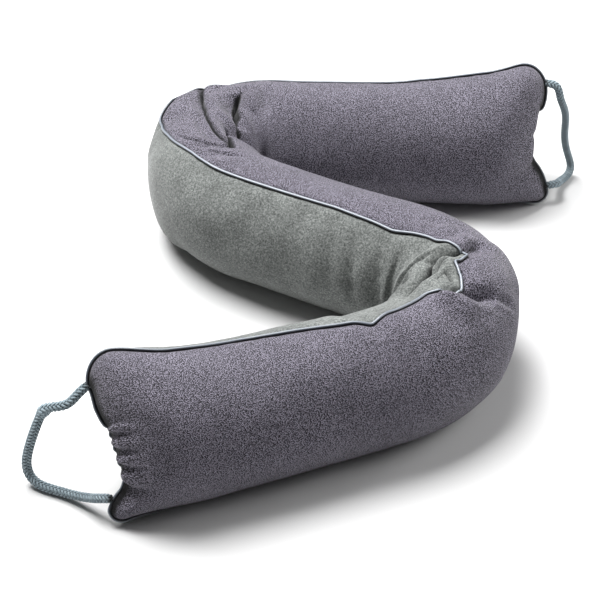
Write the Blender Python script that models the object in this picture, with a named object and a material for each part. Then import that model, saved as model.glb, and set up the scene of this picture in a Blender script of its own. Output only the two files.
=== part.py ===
"""A draught excluder: a stuffed cloth tube of two long panels, piped all round its seam, with a
rope loop at each end. It lies folded into three legs by two tight bends.

Metres, +Z up. The tube rests on z = 0, and the origin is under the middle of its outer box.
The near end is the start of the tube. The front panel is on the right of the way along it.
"""
import math

import bmesh
import bpy
import numpy as np

# Size of the stuffed tube. Its two seams run along the top and the underside.
HALF_WIDTH = 0.0475
HALF_HEIGHT = 0.0512
NEAR_HALF_HEIGHT = 0.0562
FAR_HALF_HEIGHT = 0.0583
CLOTH_AT_END = 0.0018
NEAR_CORNER_RADIUS = 0.018
FAR_CORNER_RADIUS = 0.024
BOTTOM_CORNER_RADIUS = 0.009
CLOSING_REACH = 0.050
CLOSING_FULLNESS = 2.4
CLOSING_ROUNDNESS = 0.62
NEAR_FLARE_REACH = 0.110
FAR_FLARE_REACH = 0.130
FOOT_SINK = 0.0035
SEAM_GAP = 0.0003
PIPING_RADIUS = 0.0017
PIPING_GAP = 0.0006
PIPING_GROOVE = 0.0042
PIPING_GROOVE_REACH = 0.008
GROOVE_EDGE = 0.02
SEAM_LIFT = 0.008
BEND_INNER_SPACE = 0.003
SQUEEZED_FROM = 0.6
FOLDING_ROOM = 0.75
PLAN_SHIFT = (-0.0338, -0.0397)

# The centreline seen from above, walked from the near end. Positive turns go to the left.
START = (-0.130, -0.162)
START_HEADING = 18.5
EASING = 0.012
STRETCHES = (
    # name, length, turn in degrees
    ("near_leg", 0.2105, 6.0),
    ("near_curve", 0.040, 25.5),
    ("near_bend_in", 0.061, 47.5),
    ("near_bend_out", 0.0535, 56.5),
    ("middle_leg", 0.148, -7.0),
    ("far_bend_in", 0.081, -64.0),
    ("far_bend_out", 0.072, -83.0),
    ("far_leg", 0.2305, -4.0),
)

# How far the section leans over towards the back panel, along the tube.
LEAN = (
    # metres along, degrees
    (0.000, 35.0),
    (0.090, 17.0),
    (0.180, 6.0),
    (0.280, 3.0),
    (0.350, 18.0),
    (0.550, 21.0),
    (0.590, 40.0),
    (0.615, 50.0),
    (0.640, 46.0),
    (0.685, 20.0),
    (0.810, 16.0),
    (0.896, 20.0),
)

# Where the top seam strays from the top of the section. Positive strays to the front.
WANDER = (
    # metres along, degrees
    (0.004, 0.0),
    (0.032, 8.0),
    (0.045, 8.0),
    (0.100, -3.0),
    (0.140, 0.0),
    (0.176, 5.0),
    (0.189, 11.0),
    (0.203, 4.0),
    (0.220, 0.0),
    (0.242, -4.0),
    (0.251, 3.0),
    (0.260, 19.0),
    (0.273, 9.0),
    (0.285, 0.0),
    (0.301, 17.0),
    (0.308, 12.0),
    (0.322, -2.0),
    (0.350, -4.0),
    (0.370, -8.0),
    (0.388, -4.0),
    (0.420, 0.0),
    (0.580, 0.0),
    (0.602, -7.0),
    (0.613, 4.0),
    (0.624, -6.0),
    (0.637, 2.0),
    (0.696, 0.0),
)

# Folds and bulges of the cloth, each along a line on the tube. "around" is measured from the
# top of the section, positive on the front panel. "push" is positive for a bulge.
FOLDS = (
    # name, along, around, to along, to around, half width, push
    ("outer_fold_a", 0.302, 12.0, 0.329, 64.0, 0.0050, -0.0065),
    ("outer_fold_b", 0.261, 18.0, 0.276, 54.0, 0.0052, -0.0090),
    ("outer_bulge", 0.281, 10.0, 0.298, 60.0, 0.0100, 0.0030),
    ("crest_bulge", 0.249, -14.0, 0.250, 34.0, 0.0080, 0.0045),
    ("inner_fold", 0.306, 12.0, 0.297, -26.0, 0.0046, -0.0055),
    ("inner_fold_long", 0.300, -14.0, 0.240, -36.0, 0.0060, -0.0075),
    ("inner_fold_low", 0.287, -40.0, 0.287, -140.0, 0.0120, -0.0080),
    ("inner_gusset", 0.296, -18.0, 0.276, 8.0, 0.0060, 0.0030),
    ("inner_vee", 0.277, -6.0, 0.264, 6.0, 0.0030, -0.0022),
    ("soft_a", 0.377, -12.0, 0.366, -85.0, 0.0070, -0.0020),
    ("soft_b", 0.396, -18.0, 0.390, -92.0, 0.0060, -0.0024),
    ("soft_c", 0.412, -22.0, 0.407, -95.0, 0.0070, -0.0020),
    ("crest_pinch", 0.190, -8.0, 0.189, 28.0, 0.0060, -0.0024),
    ("turn_fold_deep", 0.642, 30.0, 0.603, 86.0, 0.0072, -0.0095),
    ("turn_fold_top", 0.632, -2.0, 0.603, 44.0, 0.0045, -0.0055),
    ("turn_fold_long", 0.610, 42.0, 0.538, 30.0, 0.0042, -0.0050),
    ("turn_fold_side", 0.592, 32.0, 0.546, 22.0, 0.0036, -0.0025),
    ("turn_inner", 0.586, 56.0, 0.586, 135.0, 0.0140, -0.0080),
    ("leg_fold_a", 0.556, 0.0, 0.532, 46.0, 0.0045, -0.0035),
    ("leg_fold_b", 0.546, -2.0, 0.514, 40.0, 0.0040, -0.0025),
    ("turn_outer_bulge", 0.598, 2.0, 0.642, -6.0, 0.0220, 0.0082),
    ("turn_outer_low", 0.540, -112.0, 0.592, -108.0, 0.0240, 0.0045),
    ("turn_outer_flat", 0.582, -62.0, 0.618, -62.0, 0.0150, -0.0030),
    ("far_leg_hollow", 0.650, -20.0, 0.790, -20.0, 0.0240, -0.0050),
    ("near_leg_hollow", 0.170, -24.0, 0.256, -28.0, 0.0200, -0.0065),
    ("near_turn_flat", 0.262, 108.0, 0.304, 94.0, 0.0200, -0.0020),
    ("near_turn_full", 0.300, 80.0, 0.330, 68.0, 0.0180, 0.0030),
)

# Share of its depth that a fold raises on either side.
FOLD_LIP = 0.35

# The lines of the two end seams. "down" runs from 0 at the top corner to 1 at the bottom corner.
END_LINES = (
    # end, down, metres drawn in from a straight end
    ("near", 0.00, -0.0040),
    ("near", 0.08, -0.0026),
    ("near", 0.23, -0.0019),
    ("near", 0.33, 0.0002),
    ("near", 0.42, 0.0034),
    ("near", 0.58, 0.0050),
    ("near", 0.73, 0.0066),
    ("near", 0.83, 0.0080),
    ("near", 0.88, 0.0054),
    ("near", 0.93, -0.0010),
    ("near", 1.00, -0.0058),
    ("far", 0.00, 0.0018),
    ("far", 0.10, 0.0020),
    ("far", 0.19, 0.0032),
    ("far", 0.30, 0.0075),
    ("far", 0.50, 0.0095),
    ("far", 0.68, 0.0098),
    ("far", 0.76, 0.0088),
    ("far", 0.82, 0.0036),
    ("far", 0.90, -0.0010),
    ("far", 1.00, -0.0044),
)
END_LINE_EASING = 0.03

# Gathers where the cloth is drawn into the end seams, and how far it puffs out between them.
PUCKERS = (
    # end, down, half width, depth
    ("near", 0.40, 0.050, 0.0050),
    ("near", 0.56, 0.040, 0.0030),
    ("near", 0.68, 0.040, 0.0030),
    ("near", 0.85, 0.045, 0.0070),
    ("far", 0.20, 0.045, 0.0055),
    ("far", 0.50, 0.040, 0.0020),
    ("far", 0.76, 0.050, 0.0060),
)
PUCKER_REACH = 0.018
DENT_SHARE = 0.7
DENT_REACH = 0.006
PUFF = 0.0040
PUFF_REACH = 0.0028

# Rope loops, as corner points of an eased path.
ROPE_RADIUS = 0.0035
ROPE_GROOVE = 0.0006
ROPE_LAY = 0.022
ROPE_EASING = 0.016
ROPE_STEP = 0.0028
ROPE_SIDES = 12
ROPE_STRANDS = 3
NEAR_ROPE = (
    # x, y, z of the path in metres, before the plan is centred
    (-0.1442, -0.1447, 0.0798),
    (-0.1502, -0.1473, 0.0773),
    (-0.1483, -0.1459, 0.0741),
    (-0.1527, -0.1499, 0.0710),
    (-0.1584, -0.1506, 0.0686),
    (-0.1644, -0.1485, 0.0684),
    (-0.1703, -0.1452, 0.0661),
    (-0.1743, -0.1459, 0.0582),
    (-0.1781, -0.1468, 0.0479),
    (-0.1820, -0.1464, 0.0376),
    (-0.1852, -0.1461, 0.0263),
    (-0.1882, -0.1455, 0.0150),
    (-0.1867, -0.1483, 0.0070),
    (-0.1807, -0.1544, 0.0040),
    (-0.1724, -0.1581, 0.0040),
    (-0.1642, -0.1610, 0.0040),
    (-0.1552, -0.1654, 0.0044),
    (-0.1462, -0.1718, 0.0081),
    (-0.1375, -0.1764, 0.0108),
    (-0.1336, -0.1832, 0.0180),
    (-0.1291, -0.1834, 0.0177),
)
FAR_ROPE = (
    # x, y, z of the path in metres, before the plan is centred
    (0.2078, 0.2325, 0.0982),
    (0.2148, 0.2326, 0.0992),
    (0.2157, 0.2294, 0.0860),
    (0.2217, 0.2343, 0.0750),
    (0.2245, 0.2364, 0.0624),
    (0.2246, 0.2404, 0.0478),
    (0.2268, 0.2440, 0.0332),
    (0.2315, 0.2484, 0.0182),
    (0.2361, 0.2472, 0.0073),
    (0.2303, 0.2372, 0.0040),
    (0.2197, 0.2225, 0.0074),
    (0.2182, 0.2034, 0.0191),
    (0.2113, 0.2032, 0.0178),
)

# How finely the surfaces are divided.
RING_STEPS = (
    # metres along, distance between rings
    (0.014, 0.005),
    (0.050, 0.008),
    (0.070, 0.0115),
    (0.210, 0.0115),
    (0.235, 0.0055),
    (0.330, 0.0055),
    (0.360, 0.0110),
    (0.500, 0.0110),
    (0.530, 0.0065),
    (0.650, 0.0065),
    (0.680, 0.0115),
    (0.830, 0.0115),
    (0.853, 0.008),
    (0.889, 0.005),
)
CORNER_STEPS = 6
TURN_STEPS = 18
SEAM_PLANE_STEPS = 6
SEAM_DENSITY = 0.45
LEVEL_LIMIT = 0.6
SHARP_EDGE = math.radians(50.0)
PIPING_SIDES = 6

FRONT, BACK = 1.0, -1.0
TRACE_STEP = 0.001
LEAN_EASING = 0.018
WANDER_EASING = 0.005


def trace_centreline():
    """Heading and place every millimetre, from the stretches with their joints eased."""
    lengths = np.array([row[1] for row in STRETCHES])
    turns = np.radians([row[2] for row in STRETCHES])
    ends = np.concatenate([[0.0], np.cumsum(lengths)])
    arc = np.arange(0.0, ends[-1] + TRACE_STEP / 2, TRACE_STEP)
    bending = np.zeros_like(arc)
    for i, turn in enumerate(turns):
        rise = np.tanh((arc - ends[i]) / EASING)
        fall = np.tanh((arc - ends[i + 1]) / EASING)
        bending += turn / lengths[i] * (rise - fall) / 2
    heading = math.radians(START_HEADING) + np.cumsum(bending) * TRACE_STEP
    along = np.stack([np.cos(heading), np.sin(heading)], -1)
    place = np.cumsum(along, axis=0) * TRACE_STEP + np.array(START) + np.array(PLAN_SHIFT)
    return arc, bending, heading, place


ARC, BENDING, HEADING, PLACE = trace_centreline()
LENGTH = float(ARC[-1])


def ease(values, reach):
    """Round the corners of an evenly stepped curve over reach steps each way."""
    weights = np.hanning(2 * reach + 3)[1:-1]
    padded = np.pad(values, reach, mode="edge")
    return np.convolve(padded, weights / weights.sum(), "valid")


def eased_table(rows, easing):
    """A table of angles, in radians at every step of ARC."""
    values = np.interp(ARC, [row[0] for row in rows], [row[1] for row in rows])
    return ease(np.radians(values), int(round(easing / TRACE_STEP)))


LEAN_CURVE = eased_table(LEAN, LEAN_EASING)
WANDER_CURVE = eased_table(WANDER, WANDER_EASING)


def smooth_step(x):
    """0 below 0, 1 above 1, and an even slope between."""
    x = np.clip(x, 0.0, 1.0)
    return x * x * (3 - 2 * x)


def end_distance(s):
    """Distance along the tube to the nearer end."""
    return np.minimum(s, LENGTH - s)


def half_width(s):
    """The tube closes to the thickness of its cloth over the last few centimetres."""
    x = np.clip(end_distance(s) / CLOSING_REACH, 0.0, 1.0)
    open_share = (1 - (1 - x) ** CLOSING_FULLNESS) ** CLOSING_ROUNDNESS
    return CLOTH_AT_END + (HALF_WIDTH - CLOTH_AT_END) * open_share


def half_height(s):
    """The ends flare to the flat width of the panels."""
    near = 1 - smooth_step(s / NEAR_FLARE_REACH)
    far = 1 - smooth_step((LENGTH - s) / FAR_FLARE_REACH)
    gain = (NEAR_HALF_HEIGHT - HALF_HEIGHT) * near + (FAR_HALF_HEIGHT - HALF_HEIGHT) * far
    return HALF_HEIGHT + gain


def corner_cut(s, down):
    """What the round corners take off the height at the very end."""
    cut = 0.0
    top_radius = np.where(s < LENGTH / 2, NEAR_CORNER_RADIUS, FAR_CORNER_RADIUS)
    for radius, share in ((top_radius, 1 - down), (BOTTOM_CORNER_RADIUS, down)):
        x = np.clip(1 - end_distance(s) / radius, 0.0, 1.0)
        cut = cut + share * radius * (1 - np.sqrt(1 - x * x))
    return cut


def relief(s, around):
    """How far the cloth is pushed out by the table of folds. around is in radians."""
    push = np.zeros_like(s)
    for _, s_from, a_from, s_to, a_to, width, amount in FOLDS:
        y, y_from, y_to = (HALF_HEIGHT * v for v in (around, math.radians(a_from), math.radians(a_to)))
        size = math.hypot(s_to - s_from, y_to - y_from)
        run = ((s - s_from) * (s_to - s_from) + (y - y_from) * (y_to - y_from)) / size ** 2
        gone = np.clip(run, 0.0, 1.0)
        away = np.hypot(s - s_from - gone * (s_to - s_from), y - y_from - gone * (y_to - y_from)) / width
        profile = np.exp(-away ** 2) - FOLD_LIP * np.exp(-(away - 2) ** 2)
        push += amount * profile * (1 - np.abs(2 * gone - 1) ** 3)
    return push


def gathers(s, down):
    """Depth of the gathers at the ends."""
    depth = 0.0
    for end, middle, width, amount in PUCKERS:
        away = s if end == "near" else LENGTH - s
        depth = depth + amount * np.exp(-((down - middle) / width) ** 2) * np.exp(-away / PUCKER_REACH)
    return depth


def end_curve(end):
    """The line of one end seam at even steps from its top corner to its bottom corner."""
    rows = [row for row in END_LINES if row[0] == end]
    line = np.interp(DOWN_STEPS, [row[1] for row in rows], [row[2] for row in rows])
    return ease(line, int(round(END_LINE_EASING * (len(DOWN_STEPS) - 1))))


DOWN_STEPS = np.linspace(0.0, 1.0, 201)
END_CURVES = {end: end_curve(end) for end in ("near", "far")}


def drawn_in(s, down):
    """How far the end seam draws the cloth along the tube."""
    at_end = 1 - smooth_step(end_distance(s) / CLOSING_REACH)
    near = np.interp(down, DOWN_STEPS, END_CURVES["near"])
    far = np.interp(down, DOWN_STEPS, END_CURVES["far"])
    return at_end * np.where(s < LENGTH / 2, near, -far)


def puffed_out(s, down):
    """How far the cloth puffs out past the end seam, between the gathers."""
    away = end_distance(s) / PUFF_REACH
    free = 1.0
    for end, middle, width, _ in PUCKERS:
        here = (s < LENGTH / 2) == (end == "near")
        free = free - here * np.exp(-((down - middle) / width) ** 2)
    puff = PUFF * np.clip(free, 0.0, 1.0) * (1 - (2 * down - 1) ** 4) * away * np.exp(1 - away)
    return np.where(s < LENGTH / 2, -puff, puff)


def inside_bend(right, bending):
    """Keep the inner wall of a bend clear of the bend's own middle."""
    inward = -np.sign(bending) * right
    limit = 1 / np.maximum(np.abs(bending), 1e-6) - BEND_INNER_SPACE
    share = inward / limit
    rest = 1 - SQUEEZED_FROM
    squeezed = limit * (SQUEEZED_FROM + rest * np.tanh((share - SQUEEZED_FROM) / rest))
    return np.where(share > SQUEEZED_FROM, -np.sign(bending) * squeezed, right)


def surface(s, turn, side):
    """Points of one panel. turn runs from 0 at the top seam to pi at the bottom seam."""
    s, turn = np.broadcast_arrays(np.asarray(s, float), np.asarray(turn, float))
    down = (1 - np.cos(turn)) / 2
    a, full = half_width(s), half_height(s)
    b = full - corner_cut(s, down)
    tip = np.interp(s, ARC, LEAN_CURVE)
    around = side * turn + np.interp(s, ARC, WANDER_CURVE) * (1 + np.cos(turn)) / 2
    across, height = a * np.sin(around), b * np.cos(around)
    out_across, out_height = across / a ** 2, height / b ** 2
    out_size = np.hypot(out_across, out_height)
    at_end = 1 - smooth_step(end_distance(s) / CLOSING_REACH)
    gather = gathers(s, down)
    dent = DENT_SHARE * gather * (1 - np.exp(-end_distance(s) / DENT_REACH)) * np.abs(np.sin(turn))
    bending = np.interp(s, ARC, BENDING)
    inward = -np.sign(bending) * (across * np.cos(tip) - height * np.sin(tip))
    room = 1 - np.abs(bending) * np.maximum(inward, 0.0)
    push = relief(s, around) * (1 - at_end) * smooth_step(room / FOLDING_ROOM) - dent
    across = across + push * out_across / out_size + side * SEAM_GAP / 2
    height = height + push * out_height / out_size
    slide = drawn_in(s, down) + puffed_out(s, down)
    low = np.hypot(full * np.cos(tip), a * np.sin(tip))
    sink = FOOT_SINK * (1 - at_end) - PIPING_GROOVE * at_end
    right = across * np.cos(tip) - height * np.sin(tip)
    right = inside_bend(right, bending)
    up = height * np.cos(tip) + across * np.sin(tip) + low - sink
    groove = np.exp(-((np.pi - turn) * b / PIPING_GROOVE_REACH) ** 2)
    groove = PIPING_GROOVE * np.maximum(groove - GROOVE_EDGE, 0.0) / (1 - GROOVE_EDGE)
    up = np.maximum(up, groove)
    heading = np.interp(s, ARC, HEADING)
    x = np.interp(s, ARC, PLACE[:, 0]) + np.sin(heading) * right + np.cos(heading) * slide
    y = np.interp(s, ARC, PLACE[:, 1]) - np.cos(heading) * right + np.sin(heading) * slide
    return np.stack([x, y, up], -1)


def seam_middle(s, turn):
    """Points midway between the two panels."""
    return (surface(s, turn, FRONT) + surface(s, turn, BACK)) / 2


def across_direction(s):
    """Unit vectors square to the seam plane, towards the front panel."""
    tip, heading = np.interp(s, ARC, LEAN_CURVE), np.interp(s, ARC, HEADING)
    return np.stack([np.sin(heading) * np.cos(tip), -np.cos(heading) * np.cos(tip), np.sin(tip)], -1)


def rings_along():
    """Distances along the tube of the rings of points: closest where the cloth folds."""
    corner = NEAR_CORNER_RADIUS * (1 - np.cos(np.linspace(0, np.pi / 2, CORNER_STEPS + 1)))
    steps = np.interp(ARC, [row[0] for row in RING_STEPS], [row[1] for row in RING_STEPS])
    count = np.cumsum(TRACE_STEP / steps)
    first = np.interp(NEAR_CORNER_RADIUS, ARC, count)
    last = np.interp(LENGTH - NEAR_CORNER_RADIUS, ARC, count)
    between = np.linspace(first, last, int(round(last - first)) + 1)[1:-1]
    return np.concatenate([corner, np.interp(between, count, ARC), LENGTH - corner[::-1]])


def turns_around():
    """Angles from seam to seam, closer together near the seams."""
    u = np.linspace(0.0, 1.0, TURN_STEPS + 1)
    return np.pi * (u - SEAM_DENSITY * np.sin(2 * np.pi * u) / (2 * np.pi))


def add_object(name, points, faces, colour, roughness):
    """One closed mesh with its own cloth material, origin at the world origin."""
    mesh = bpy.data.meshes.new(name)
    mesh.from_pydata(points.tolist(), [], faces)
    body = bmesh.new()
    body.from_mesh(mesh)
    loose = [vertex for vertex in body.verts if not vertex.link_faces]
    bmesh.ops.delete(body, geom=loose, context="VERTS")
    bmesh.ops.recalc_face_normals(body, faces=body.faces)
    body.to_mesh(mesh)
    body.free()
    mesh.shade_smooth()
    mesh.set_sharp_from_angle(angle=SHARP_EDGE)
    material = bpy.data.materials.new(name + "_cloth")
    material.use_nodes = True
    shader = material.node_tree.nodes["Principled BSDF"]
    shader.inputs["Base Color"].default_value = (*colour, 1.0)
    shader.inputs["Roughness"].default_value = roughness
    shader.inputs["Metallic"].default_value = 0.0
    material.diffuse_color = (*colour, 1.0)
    mesh.materials.append(material)
    item = bpy.data.objects.new(name, mesh)
    bpy.context.scene.collection.objects.link(item)
    return item


def linear(hex_colour):
    """An sRGB hex colour as linear red, green and blue."""
    values = np.array([int(hex_colour[i:i + 2], 16) / 255 for i in (0, 2, 4)])
    return tuple(np.where(values < 0.04045, values / 12.92, ((values + 0.055) / 1.055) ** 2.4).tolist())


def seam_face(rings, turns, outer):
    """Points of the face where the two fillings meet, between the seams and inside them."""
    down = (1 - np.cos(turns[1:-1]))[None, :] / 2
    chord = outer[:, -1:] - outer[:, :1]
    level = ((outer[:, 1:-1] - outer[:, :1]) * chord).sum(-1) / (chord ** 2).sum(-1)
    level = np.clip(level, LEVEL_LIMIT * down, 1 - LEVEL_LIMIT * (1 - down))
    at_end = 1 - smooth_step(end_distance(rings) / CLOSING_REACH)
    shares = down + (level - down) * at_end[:, None]
    straight = outer[:, :1] + chord * shares[..., None]
    heading = np.interp(rings, ARC, HEADING)
    along = np.stack([np.cos(heading), np.sin(heading), heading * 0], -1)
    top, bottom = drawn_in(rings, 0.0)[:, None], drawn_in(rings, 1.0)[:, None]
    slide = drawn_in(rings[:, None], down) - top * (1 - shares) - bottom * shares
    return straight + slide[..., None] * along[:, None]


def make_panel(name, side, colour, roughness):
    """Half of the stuffed tube: the cloth outside, and the plane of the seams inside."""
    rings, turns = rings_along(), turns_around()
    outer = surface(rings[:, None], turns[None, :], side)
    inner = seam_face(rings, turns, outer)
    grid = np.concatenate([outer, inner], axis=1)
    count, size = grid.shape[:2]
    every = TURN_STEPS // SEAM_PLANE_STEPS
    fine = [0] + [TURN_STEPS + k for k in range(1, TURN_STEPS)] + [TURN_STEPS]
    faces = []
    for i in range(count - 1):
        here, there = i * size, (i + 1) * size
        for j in range(TURN_STEPS):
            faces.append((here + j, here + j + 1, there + j + 1, there + j))
        near_end = i < CORNER_STEPS or i >= count - 1 - CORNER_STEPS
        step = 1 if near_end else every
        for j in range(0, TURN_STEPS, step):
            ring = [here + fine[j], here + fine[j + step], there + fine[j + step], there + fine[j]]
            if i == CORNER_STEPS:
                ring[:2] = [here + fine[k] for k in range(j, j + step + 1)]
            if i == count - 2 - CORNER_STEPS:
                ring[2:] = [there + fine[k] for k in range(j + step, j - 1, -1)]
            if i == count - 2 - CORNER_STEPS:
                ring = ring[::-1]
            corner = ring[-1]
            faces += [(corner, ring[k], ring[k + 1]) for k in range(len(ring) - 2)]
    for here in (0, (count - 1) * size):
        faces.append((here, here + 1, here + fine[1]))
        for j in range(1, TURN_STEPS - 1):
            faces.append((here + j, here + j + 1, here + fine[j + 1], here + fine[j]))
        faces.append((here + TURN_STEPS - 1, here + TURN_STEPS, here + fine[TURN_STEPS - 1]))
    return add_object(name, grid.reshape(-1, 3), faces, colour, roughness)


def make_tube(name, points, outward, across, radius, closed, colour, roughness):
    """A round cord along a path. radius has a value for every ring and every side."""
    count, sides = radius.shape
    angles = np.linspace(0, 2 * np.pi, sides, endpoint=False)
    ring = np.cos(angles)[None, :, None] * outward[:, None] + np.sin(angles)[None, :, None] * across[:, None]
    grid = points[:, None] + radius[..., None] * ring
    faces = []
    for i in range(count if closed else count - 1):
        n = (i + 1) % count
        for j in range(sides):
            k = (j + 1) % sides
            faces.append((i * sides + j, i * sides + k, n * sides + k, n * sides + j))
    if not closed:
        faces.append(tuple(range(sides)))
        faces.append(tuple(range((count - 1) * sides, count * sides)))
    return add_object(name, grid.reshape(-1, 3), faces, colour, roughness)


def piping_path():
    """The closed line of the bead, just outside the seam edge all round."""
    rings, turns = rings_along(), turns_around()[2:-2]
    s = np.concatenate([rings, np.full(len(turns), LENGTH), rings[::-1], np.zeros(len(turns))])
    turn = np.concatenate([rings * 0, turns, rings * 0 + np.pi, turns[::-1]])
    middle = seam_middle(s, turn)
    tangent = np.roll(middle, -1, axis=0) - np.roll(middle, 1, axis=0)
    tangent /= np.linalg.norm(tangent, axis=1)[:, None]
    outward = np.cross(across_direction(s), tangent)
    outward /= np.linalg.norm(outward, axis=1)[:, None]
    across = np.cross(tangent, outward)
    on_floor = 1 - smooth_step((middle[:, 2] - PIPING_GROOVE) / SEAM_LIFT)
    under = (turn == np.pi) * smooth_step(end_distance(s) / CLOSING_REACH) * on_floor
    away = outward * (1 - under[:, None]) + np.array([0.0, 0.0, -1.0]) * under[:, None]
    away /= np.linalg.norm(away, axis=1)[:, None]
    centre = middle + away * (PIPING_RADIUS + PIPING_GAP)
    centre[:, 2] = np.maximum(centre[:, 2], PIPING_RADIUS)
    return centre, outward, across


def make_piping(colour, roughness):
    centre, outward, across = piping_path()
    radius = np.full((len(centre), PIPING_SIDES), PIPING_RADIUS)
    return make_tube("piping", centre, outward, across, radius, True, colour, roughness)


def rope_path(corners):
    """Even points along the eased path through the corner points."""
    corners = np.array(corners) + np.array([*PLAN_SHIFT, 0.0])
    gone = np.concatenate([[0.0], np.cumsum(np.linalg.norm(np.diff(corners, axis=0), axis=1))])
    even = np.arange(0.0, gone[-1], TRACE_STEP)
    reach = int(round(ROPE_EASING / TRACE_STEP))
    path = np.stack([np.interp(even, gone, corners[:, i]) for i in range(3)], -1)
    extended = np.concatenate([2 * path[0] - path[reach:0:-1], path, 2 * path[-1] - path[-2:-reach - 2:-1]])
    weights = np.hanning(2 * reach + 3)[1:-1]
    weights /= weights.sum()
    path = np.stack([np.convolve(extended[:, i], weights, "valid") for i in range(3)], -1)
    gone = np.concatenate([[0.0], np.cumsum(np.linalg.norm(np.diff(path, axis=0), axis=1))])
    count = int(round(gone[-1] / ROPE_STEP))
    steps = np.linspace(0.0, gone[-1], count + 1)
    return steps, np.stack([np.interp(steps, gone, path[:, i]) for i in range(3)], -1)


def carried_frame(points):
    """Two directions square to a path, carried along it without twisting."""
    tangent = np.gradient(points, axis=0)
    tangent /= np.linalg.norm(tangent, axis=1)[:, None]
    first = np.zeros_like(points)
    first[0] = np.cross(tangent[0], (0.0, 0.0, 1.0))
    first[0] /= np.linalg.norm(first[0])
    for i in range(1, len(points)):
        carried = first[i - 1] - tangent[i] * np.dot(first[i - 1], tangent[i])
        first[i] = carried / np.linalg.norm(carried)
    return first, np.cross(tangent, first)


def make_rope(name, corners, colour, roughness):
    """A laid rope: three strands wind round its path."""
    steps, points = rope_path(corners)
    first, second = carried_frame(points)
    angles = np.linspace(0, 2 * np.pi, ROPE_SIDES, endpoint=False)
    lay = angles[None, :] - steps[:, None] * 2 * np.pi / ROPE_LAY
    radius = ROPE_RADIUS - ROPE_GROOVE * (1 - np.cos(ROPE_STRANDS * lay)) / 2
    return make_tube(name, points, first, second, radius, False, colour, roughness)


for old in list(bpy.data.objects):
    bpy.data.objects.remove(old, do_unlink=True)

make_panel("front_panel", FRONT, linear("A29DAB"), 0.92)
make_panel("back_panel", BACK, linear("A3AAA7"), 0.90)
make_piping(linear("A9AFB4"), 0.75)
make_rope("rope_loop_near", NEAR_ROPE, linear("B4BEC2"), 0.85)
make_rope("rope_loop_far", FAR_ROPE, linear("B4BEC2"), 0.85)
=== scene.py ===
# %% [markdown]
# # A draught excluder, folded into three legs
#
# The object is a stuffed tube of cloth that lies along the foot of a door. Two long panels are
# sewn together all round with a piped seam, and each end has a loop of braided rope to hang it
# by. Here it lies folded twice, as it would be shown in a shop.
#
# The measured solids are loaded first. They are the frame: every piece below takes the place of
# one of them, in the same metres and at the same spot.

# %% The frame
import math

import bpy
import numpy as np
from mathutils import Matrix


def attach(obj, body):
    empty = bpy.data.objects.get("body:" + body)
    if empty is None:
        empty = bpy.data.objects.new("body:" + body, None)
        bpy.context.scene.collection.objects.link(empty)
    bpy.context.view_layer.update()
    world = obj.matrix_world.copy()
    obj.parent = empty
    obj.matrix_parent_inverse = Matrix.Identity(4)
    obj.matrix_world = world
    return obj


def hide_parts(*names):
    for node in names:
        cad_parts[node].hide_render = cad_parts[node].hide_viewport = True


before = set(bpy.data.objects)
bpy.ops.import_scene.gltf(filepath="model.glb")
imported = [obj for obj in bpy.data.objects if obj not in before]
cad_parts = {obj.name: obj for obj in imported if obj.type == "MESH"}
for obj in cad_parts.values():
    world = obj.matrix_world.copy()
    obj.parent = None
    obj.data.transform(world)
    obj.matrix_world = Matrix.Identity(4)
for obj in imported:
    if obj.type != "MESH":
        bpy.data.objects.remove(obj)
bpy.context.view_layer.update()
print("solids:", sorted(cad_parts))

# %% [markdown]
# ## Camera
#
# The camera stands where the photographer stood: in front, above, and well back with a long
# lens, so that the legs hardly shrink with distance. It is made first, because everything after
# it is judged through it.

# %% Camera
PHOTO_PIXELS = 600
FOCAL_PIXELS = 1764
SENSOR = 36.0
LOOKING_DOWN = math.radians(36.4)
DISTANCE = 1.306
LOOKED_AT = np.array([-0.0338, -0.0397, 0.0468])

backwards = np.array([0.0, -math.cos(LOOKING_DOWN), math.sin(LOOKING_DOWN)])
camera = bpy.data.objects.new("camera", bpy.data.cameras.new("camera"))
camera.data.sensor_width = SENSOR
camera.data.lens = SENSOR * FOCAL_PIXELS / PHOTO_PIXELS
camera.location = LOOKED_AT + DISTANCE * backwards
camera.rotation_euler = (math.pi / 2 - LOOKING_DOWN, 0.0, 0.0)
bpy.context.scene.collection.objects.link(camera)
bpy.context.scene.camera = camera
print("lens in mm:", round(camera.data.lens, 1), "camera at", [round(v, 3) for v in camera.location])

# %% [markdown]
# ## Three helpers
#
# Colours are picked from a colour chart as hex values, which are made for screens. Light adds up
# in linear values, so one function turns the one into the other.
#
# A node of a material is added together with its settings, its wires and, if it is a colour ramp,
# its stops. A wire is given by the socket it comes from.
#
# Every surface here is a grid: rows along the piece and columns across it. One function turns
# such a grid of points into a mesh with four-sided faces, and stores where each point lies on the
# cloth, in metres, so that a pattern can follow the cloth and not the room.


# %% Colour, node and mesh helpers
def linear(hex_colour):
    """Linear red, green, blue and alpha of a hex colour: each channel undoes the screen's curve."""
    screen = np.array([int(hex_colour[i:i + 2], 16) / 255 for i in (0, 2, 4)])
    light = np.where(screen < 0.04045, screen / 12.92, ((screen + 0.055) / 1.055) ** 2.4)
    return (*light.tolist(), 1.0)


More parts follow.
